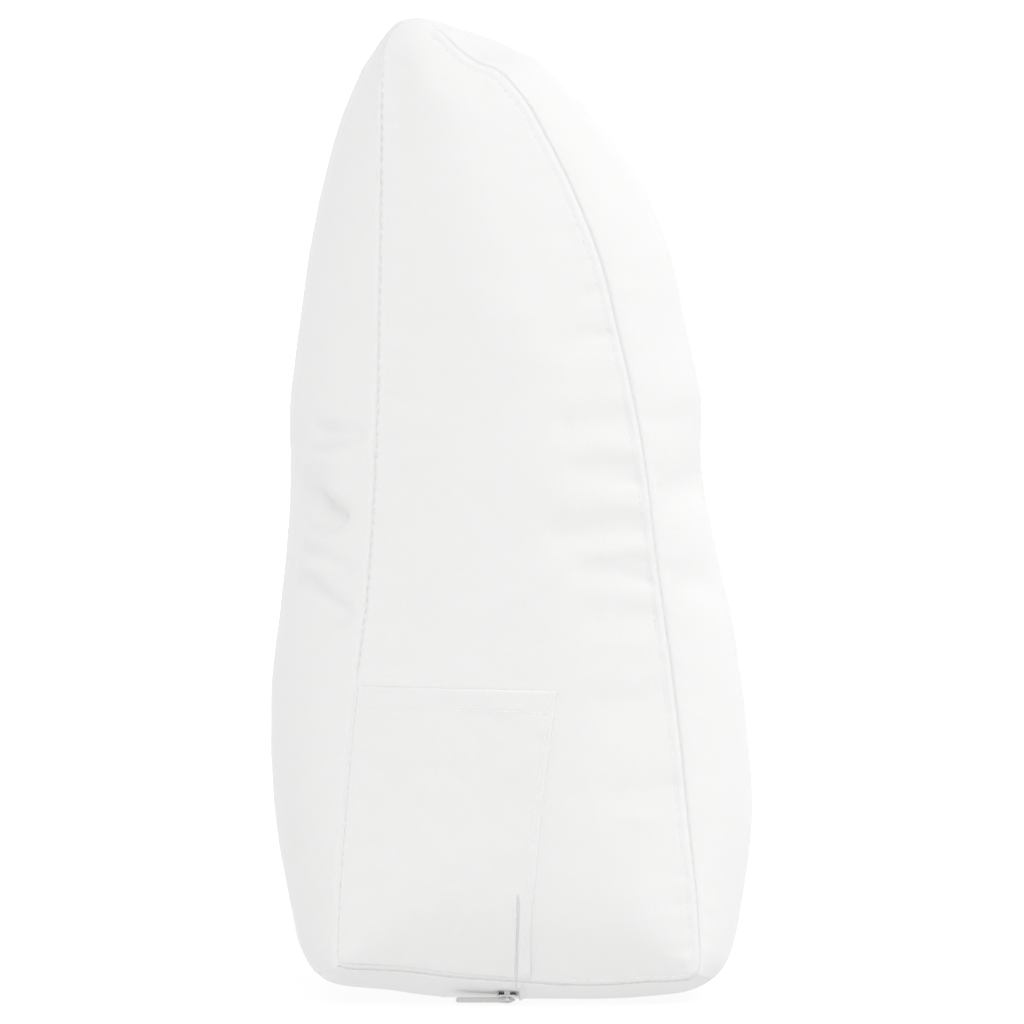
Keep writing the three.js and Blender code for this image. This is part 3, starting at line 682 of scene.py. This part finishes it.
def pocketLift(x, z, a, u):
    # height of the pocket's outer face above the end panel, and of its inner face
    fromRight, fromTop = (1 - a) * pocket["width"], (1 - u) * pocket["height"]
    hemmed = 1 - smooth(fromTop, pocket["hemDepth"] - 0.6, pocket["hemDepth"] + 0.6)
    folded = 1 - smooth(fromRight, pocket["foldWidth"] - 0.5, pocket["foldWidth"] + 0.5)
    thick = pocket["cloth"] + (pocket["hem"] - pocket["cloth"]) * np.maximum(hemmed, folded)
    hemRow = bell(fromTop - pocket["hemRow"], pocket["rowWidth"])
    foldRow = bell(fromRight - pocket["foldRow"], pocket["rowWidth"])

    # loose cloth, a top that gapes a little, and a foot that lifts beside the slit
    height, size, seed = pocket["loose"]
    loose = height * softNoise(x, z, size, seed) * smooth(a, 0, 0.1) * smooth(u, 0, 0.08)
    loose = loose * smooth(fromRight, *pocket["looseFrom"]) * smooth(fromTop, *pocket["looseFrom"])
    height, size, seed = pocket["uneven"]
    uneven = height * softNoise(x, z, size, seed) * smooth(a, 0, 0.05)
    height, middle, width, depth = pocket["gape"]
    gape = height * bell(a - middle, width) * bell(fromTop, depth)
    height, width, middle, reach = pocket["footLift"]
    foot = height * bell(fromRight, width) * bell(z - middle, reach)
    lift = pocket["lift"] + loose + uneven + gape + foot

    # the free edges are rounded, and the caught ones lie on the panel
    rim = np.clip(np.minimum(fromRight, fromTop) / pocket["rim"], 0, 1)
    bulge = np.sqrt(np.clip(1 - (1 - rim) ** 2, 0, 1))
    inner = lift * smooth(a, 0, 0.03) * smooth(u, 0, 0.02) * bulge + pocket["seat"]
    thickness = thick * (pocket["rimShare"] + (1 - pocket["rimShare"]) * bulge)
    outer = inner + thickness - pocket["rowDepth"] * np.clip(hemRow + foldRow, 0, 1) * bulge
    return outer, inner


def buildPocket():
    slitAt = 1 - (pocket["rightEdge"][0][0] - zipSlit["x"] - pocket["slitShift"]) / pocket["footWidth"]
    slitBand, foldBand, hemBand = (slitAt, 4, 0.012), (0.958, 1.6, 0.012), (0.916, 2, 0.012)
    across = spread(pocket["across"], crowded((2, 0.02), (5, 0.006), [slitBand, foldBand]))
    up = spread(pocket["up"], crowded((2, 0.02), (6, 0.005), [hemBand]))
    a, u = np.meshgrid(across, up, indexing="ij")
    flat = patch(pocketEdges, a, u)
    x, z = flat[..., 0], flat[..., 1]
    ground, slit = -half - panelSwell(x, z), slitShare(x, z)
    layers = [np.stack([x, ground - (lift - depth * slit), z], axis=2)
              for lift, depth in zip(pocketLift(x, z, a, u), pocket["slitDepths"])]
    outNumbers = numbersFrom(0, a)
    inNumbers = numbersFrom(a.size, a)
    faces = quadGrid(outNumbers) + quadGrid(inNumbers, flip=True)
    for border in (np.s_[:, 0], np.s_[-1], np.s_[::-1, -1], np.s_[0, ::-1]):
        first, second = outNumbers[border], inNumbers[border]
        faces += np.stack([first[:-1], second[:-1], second[1:], first[1:]], axis=1).tolist()
    piece = makeMesh("pocket_patch", np.vstack([layer.reshape(-1, 3) for layer in layers]), faces)
    cloth = clothPlaces(x + pocket["threadSlant"] * z, z + clothShift["pocket"])
    setClothPlace(piece, np.vstack([cloth, cloth]))
    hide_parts("patch_pocket")
    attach(piece, "root")

    # cross products across the pocket's flat quads, on the end panel's plane
    quads = np.cross(flat[1:, 1:] - flat[:-1, :-1], flat[:-1, 1:] - flat[1:, :-1])
    return piece


pocketPatch = buildPocket()
print("pocket made")


# Sewing thread, laid stitch by stitch. A row has a pitch and the share of it that lies on top.
thread = {
    "radius": 0.24,
    "pocketRadius": 0.22,
    "sides": 6,
    "points": 6,
    "taper": 0.55,
    "sink": 0.3,
    "stand": 0.12,
    "wander": 0.04,
    "front": (4.6, 0.68),
    "back": (5.6, 0.5),
    "base": (4.6, 0.6),
    "pocket": (3.4, 0.7),
    "slit": (2.3, 0.62),
    "corner": 4.0,             # a row stops this far from a corner
    "apexX": -41.5,            # the front row stops here on the top
    "aboveBack": 16.0,
    "slitRise": (36.0, 56.5),
    "pocketFoot": 13.2,
    "pocketRise": 148.8,
}


def stitchRun(path, pitch, share):
    # cuts a path of points and normals into stitches: each a list of points
    run = runOf(np.linalg.norm(np.diff(path[:, :3], axis=0), axis=1))
    chance = np.random.default_rng(int(run[-1] * 10) + 5)
    arch = np.sin(np.linspace(0, math.pi, thread["points"]))
    lift = -thread["sink"] + (thread["sink"] + thread["stand"]) * arch**0.6
    made = []
    for k in range(int(run[-1] / pitch)):
        start = (k + 0.5 * (1 - share)) * pitch + chance.normal(0, thread["wander"]) * pitch
        at = np.linspace(start, start + pitch * share, thread["points"])
        points = np.stack([np.interp(at, run, path[:, i]) for i in range(6)], axis=1)
        made.append(points[:, :3] + points[:, 3:] * lift[:, None])
    return made


def threadMesh(name, runs, radius):
    # a round tube along each stitch, drawn in at both ends
    sides = thread["sides"]
    points, faces = [], []
    for run in runs:
        tangent = unit(np.gradient(run, axis=0))
        upright = abs(tangent[:, 2]).mean() >= 0.8
        side = unit(np.cross(tangent, np.array([1.0, 0.0, 0.0] if upright else [0.0, 0.0, 1.0])))
        other = np.cross(tangent, side)
        first, count = len(points), len(run)
        for i in range(count):
            reach = radius * (thread["taper"] if i in (0, count - 1) else 1.0)
            for k in range(sides):
                turn = 2 * math.pi * k / sides
                points.append(run[i] + reach * (math.cos(turn) * side[i] + math.sin(turn) * other[i]))
        for i in range(count - 1):
            for k in range(sides):
                p, q = first + i * sides + k, first + i * sides + (k + 1) % sides
                faces.append((p, q, q + sides, p + sides))
        faces.append(tuple(first + k for k in range(sides))[::-1])
        faces.append(tuple(first + (count - 1) * sides + k for k in range(sides)))
    return makeMesh(name, points, faces)


def pathOn(flat):
    # points on the near panel's cloth, each with the cloth's outward direction
    x, z = flat[:, 0], flat[:, 1]
    step = 0.4
    slopeX = (panelSwell(x + step, z) - panelSwell(x - step, z)) / (2 * step)
    slopeZ = (panelSwell(x, z + step) - panelSwell(x, z - step)) / (2 * step)
    normal = unit(np.stack([-slopeX, -np.ones_like(x), -slopeZ], axis=1))
    return np.hstack([np.stack([x, -half - panelSwell(x, z), z], axis=1), normal])


def panelPath(places, inside):
    # a line on the near panel, at a distance inside the seam
    tangent = unit(outlineAt(places + 0.5) - outlineAt(places - 0.5))
    inward = np.stack([-tangent[:, 1], tangent[:, 0]], axis=1)
    return pathOn(outlineAt(places) + inward * inside)


def buildStitching():
    corner = thread["corner"]
    overTop = np.linspace(frontStart + corner, backStart, 800)
    places = {
        "front": overTop[outlineAt(overTop)[:, 0] > thread["apexX"]],
        "back": np.linspace(backStart - thread["aboveBack"], seamRun - corner, 600),
        "base": np.linspace(corner, frontStart - corner, 300),
    }
    rows = []
    for name, along in places.items():
        rows += stitchRun(panelPath(along, sewing["topstitch"][name][0]), *thread[name])
    piece = threadMesh("seam_stitching", rows, thread["radius"])
    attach(piece, "root")
    return piece


def pocketPath(a, u):
    # a line on the pocket's outer face
    flat = patch(pocketEdges, a, u)
    path = pathOn(flat)
    path[:, 1] -= pocketLift(flat[:, 0], flat[:, 1], a, u)[0]
    return path


def buildPocketStitching():
    even = np.linspace(0, 1, 400)
    hem = pocketPath(0.02 + 0.965 * even, np.full_like(even, 1 - pocket["hemRow"] / pocket["height"]))
    fold = pocketPath(np.full_like(even, 1 - pocket["foldRow"] / pocket["width"]), 0.012 + 0.97 * even)
    rows = stitchRun(hem, *thread["pocket"]) + stitchRun(fold, *thread["pocket"])

    # the short row beside the slit
    rise = np.linspace(*thread["slitRise"], 60)
    shareUp = (rise - thread["pocketFoot"]) / thread["pocketRise"]
    tries = np.linspace(0.85, 1, 61)
    across = np.array([np.interp(x, patch(pocketEdges, tries, np.full_like(tries, share))[:, 0], tries)
                       for x, share in zip(slitX(rise) - zipSlit["lipCentre"], shareUp)])
    rows += stitchRun(pocketPath(across, shareUp), *thread["slit"])
    piece = threadMesh("pocket_stitching", rows, thread["pocketRadius"])
    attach(piece, "root")
    return piece


seamStitching = buildStitching()
pocketStitching = buildPocketStitching()
print("stitching laid")


# Finishes

class Value:
    # a socket that takes part in sums like a plain number
    def __init__(self, tree, socket):
        self.tree, self.socket = tree, socket

    def maths(self, operation, first, second):
        node = self.tree.nodes.new("ShaderNodeMath")
        node.operation = operation
        feedSocket(self.tree, node.inputs[0], first)
        feedSocket(self.tree, node.inputs[1], second)
        return Value(self.tree, node.outputs[0])

    def __add__(self, other):
        return self.maths("ADD", self, other)

    def __sub__(self, other):
        return self.maths("SUBTRACT", self, other)

    def __rsub__(self, other):
        return self.maths("SUBTRACT", other, self)

    def __mul__(self, other):
        return self.maths("MULTIPLY", self, other)

    __radd__ = __add__
    __rmul__ = __mul__


def feedSocket(tree, socket, value):
    # a Value is linked to the socket, and anything else is set on it
    if isinstance(value, Value):
        tree.links.new(value.socket, socket)
    else:
        socket.default_value = value


class Finish:
    # one material, and the one way in which its nodes are added
    def __init__(self, name):
        self.material = bpy.data.materials.new(name)
        self.material.use_nodes = True
        self.tree = self.material.node_tree
        self.shader = self.tree.nodes["Principled BSDF"]

    def add(self, kind, settings=None, sockets=None, output=0):
        node = self.tree.nodes.new(kind)
        for name, value in (settings or {}).items():
            if name == "stops":
                for stop, (place, level) in zip(node.color_ramp.elements, value):
                    stop.position, stop.color = place, (level, level, level, 1)
            else:
                setattr(node, name, value)
        for name, value in (sockets or {}).items():
            feedSocket(self.tree, node.inputs[name], value)
        return Value(self.tree, node.outputs[output])

    def mix(self, factor, first, second):
        node = self.tree.nodes.new("ShaderNodeMix")
        node.data_type = "RGBA"
        for place, value in ((0, factor), (6, first), (7, second)):
            feedSocket(self.tree, node.inputs[place], value)
        return Value(self.tree, node.outputs[2])

    def feed(self, **sockets):
        for name, value in sockets.items():
            feedSocket(self.tree, self.shader.inputs[name.replace("_", " ")], value)
        return self.material


def grey(level, blue=0.0):
    # a near-white or grey, with a little less blue where that is given
    return (level, level, round(level - blue, 4), 1)


linen = {
    "cover": (grey(0.79, 0.004), grey(0.765, 0.004)),
    "pocket": (grey(0.785, 0.004), grey(0.76, 0.004)),
    "thread": 0.75,
    "slubLength": 8.0,
    "bandPitch": 2.2,
    "cloudSize": 60.0,
    "bump": 0.16,
    "bumpDepth": 0.0006,
    "roughness": 0.9,
    "roughnessRange": 0.08,
    "sheen": 0.12,
    "sheenRoughness": 0.6,
    "gloss": 0.25,
}


def linenFinish(name, light, shade):
    # warp, weft and a soft cloudiness, laid out by each point's place on the cloth
    finish = Finish(name)
    place = finish.add("ShaderNodeAttribute", {"attribute_name": "clothPlace"}, output=1)
    fine, slub, cloudy = (1 / linen[size] for size in ("thread", "slubLength", "cloudSize"))

    def stretched(along, across):
        return finish.add("ShaderNodeMapping", None, {"Vector": place, "Scale": (along, across, 1)})

    def noise(along, across, detail):
        sockets = {"Vector": stretched(along, across), "Scale": 1.0, "Detail": detail, "Roughness": 0.6}
        return finish.add("ShaderNodeTexNoise", None, sockets)

    def bands(direction):
        # the node turns 20 radians for each unit of its scale
        scale = 2 * math.pi / (linen["thread"] * linen["bandPitch"]) / 20
        return finish.add("ShaderNodeTexWave", {"wave_type": "BANDS", "bands_direction": direction}, {
            "Vector": stretched(1, 1), "Scale": scale, "Distortion": 1.2, "Detail": 1.0, "Detail Scale": 2.0})

    warp, weft, cloud = noise(slub, fine, 2.0), noise(fine, slub, 2.0), noise(cloudy, cloudy, 3.0)
    weave = bands("X") * 0.5 + bands("Y") * 0.5
    height = warp * 0.5 + weft * 0.5 + weave * 0.25
    mottle = warp * 0.35 + weft * 0.35 + cloud * 0.3
    tone = finish.add("ShaderNodeValToRGB", {"stops": [(0.3, 0.0), (0.75, 1.0)]}, {"Fac": mottle})
    relief = {"Strength": linen["bump"], "Distance": linen["bumpDepth"], "Height": height}
    return finish.feed(
        Base_Color=finish.mix(tone, shade, light),
        Roughness=weave * linen["roughnessRange"] + linen["roughness"] - linen["roughnessRange"] / 2,
        Normal=finish.add("ShaderNodeBump", None, relief),
        Sheen_Weight=linen["sheen"],
        Sheen_Roughness=linen["sheenRoughness"],
        Specular_IOR_Level=linen["gloss"],
    )


# Finishes of one colour: colour, roughness, metallic, size of the grain and its strength
plain = {
    "sewing_thread": (grey(0.94, 0.005), 0.7, 0.0, 1800, 0.3),
    "slider_cast_metal": ((0.62, 0.63, 0.64, 1), 0.45, 0.8, 900, 0.15),
    "puller_enamel": (grey(0.62, 0.01), 0.4, 0.0, 700, 0.08),
}


def speckle(finish, **sockets):
    where = finish.add("ShaderNodeTexCoord", output=3)
    return finish.add("ShaderNodeTexNoise", None, {"Vector": where, **sockets})


def plainFinish(name):
    colour, roughness, metallic, grain, strength = plain[name]
    finish = Finish(name)
    speck = speckle(finish, Scale=grain, Detail=4.0, Roughness=0.6)
    dark = tuple(c * 0.8 for c in colour[:3]) + (1,)
    relief = {"Strength": strength, "Distance": 0.0002, "Height": speck}
    return finish.feed(
        Base_Color=finish.mix(speck, dark, colour),
        Roughness=speck * 0.2 + (roughness - 0.1),
        Metallic=metallic,
        Normal=finish.add("ShaderNodeBump", None, relief),
    )


def dress(piece, *materials):
    piece.data.materials.clear()
    for material in materials:
        piece.data.materials.append(material)


dress(pillowCover, linenFinish("cover_linen", *linen["cover"]))
dress(pocketPatch, linenFinish("pocket_linen", *linen["pocket"]))
sewingThread = plainFinish("sewing_thread")
dress(seamStitching, sewingThread)
dress(pocketStitching, sewingThread)
for nodeName, finishName in (("zip_slider", "slider_cast_metal"), ("zip_puller", "puller_enamel")):
    finished = plainFinish(finishName)
    for slot in bpy.data.objects[nodeName].material_slots:
        slot.material = finished
print("finishes set")


# Floor, lights and camera. A sun has the direction that it shines from and its strength.
studio = {
    "cameraX": 0.25,
    "cameraDistance": 3500.0,
    "cameraHeight": 251.4,
    "cameraReach": 50.0,
    "frameWidth": 521.2,
    "sensorWidth": 36.0,
    "worldStrength": 0.395,
    "paperGlow": 0.835,
    # the floor cell under the pillow glows less, as painted shade; standX and standY give its sides
    "shadeGlow": 0.3,
    "floorColours": (grey(0.09), grey(0.11)),
    "standX": (-36.0, 60.0),
    "standY": (-226.0, 226.0),
    "suns": {
        "above_front": (0, -0.7, 0.7, 1.0),
        "above_right": (0.7, -0.1, 0.7, 1.27),
        "front": (0, -1, 0.12, 0.47),
        "left": (-1, -0.25, 0.2, 0.62),
    },
    "sunAngle": 0.7,
    "sunDistance": 3.0,
    "backdropBehind": 7000.0,
    "backdropFoot": -10.0,
}


def softSun(name, x, y, z, strength):
    # an even, distant light from that direction
    data = bpy.data.lights.new(name, "SUN")
    data.angle, data.energy = studio["sunAngle"], strength
    light = bpy.data.objects.new(name, data)
    light.location = Vector((x, y, z)).normalized() * studio["sunDistance"]
    light.rotation_euler = (-light.location).to_track_quat("-Z", "Y").to_euler()
    bpy.context.scene.collection.objects.link(light)


def glowingPaper(name, strength, colour=None):
    finish = Finish(name)
    if colour is None:
        colour = finish.mix(speckle(finish, Scale=60.0), *studio["floorColours"])
    return finish.feed(Base_Color=colour, Roughness=0.9, Emission_Color=grey(1), Emission_Strength=strength)


def buildFloor():
    # nine cells, of which the middle one, where the pillow stands, hardly glows: painted shade under the
    # pillow, so that its underside gets less light from the floor
    side = studio["backdropBehind"]
    xCuts, yCuts = ((-side, *studio[name], side) for name in ("standX", "standY"))
    corners = [(x, y, 0) for y in yCuts for x in xCuts]
    floor = makeMesh("studio_floor", corners, quadGrid(np.arange(16).reshape(4, 4), flip=True), False)
    paper, shade = (glowingPaper("floor_" + name, studio[name + "Glow"]) for name in ("paper", "shade"))
    dress(floor, paper, shade)
    floor.data.polygons[4].material_index = 1
    return floor


def buildBackdrop():
    side, foot = studio["backdropBehind"], studio["backdropFoot"]
    corners = [(x * side, side, z) for x, z in ((-2, foot), (2, foot), (2, side), (-2, side))]
    backdrop = makeMesh("studio_backdrop", corners, [(0, 1, 2, 3)], False)
    dress(backdrop, glowingPaper("backdrop_paper", 1.0, grey(0.9)))
    return backdrop


def buildCamera():
    data = bpy.data.cameras.new("photo_camera")
    data.sensor_width = studio["sensorWidth"]
    data.lens = studio["sensorWidth"] * studio["cameraDistance"] / studio["frameWidth"]
    data.clip_end = studio["cameraReach"]
    camera = bpy.data.objects.new("photo_camera", data)
    place = (studio["cameraX"], -half - studio["cameraDistance"], studio["cameraHeight"])
    camera.location = Vector(place) * toMetres
    camera.rotation_euler = (math.pi / 2, 0, 0)
    bpy.context.scene.collection.objects.link(camera)
    bpy.context.scene.camera = camera


def setWorld():
    world = bpy.data.worlds.new("studio_world")
    world.use_nodes = True
    sky = world.node_tree.nodes["Background"].inputs
    sky["Color"].default_value = grey(1)
    sky["Strength"].default_value = studio["worldStrength"]
    scene = bpy.context.scene
    scene.world = world
    scene.view_settings.view_transform = "Standard"
    scene.view_settings.look = "None"


buildFloor()
buildBackdrop()
for sunName, sun in studio["suns"].items():
    softSun("studio_" + sunName, *sun)
setWorld()
buildCamera()
print("studio set")
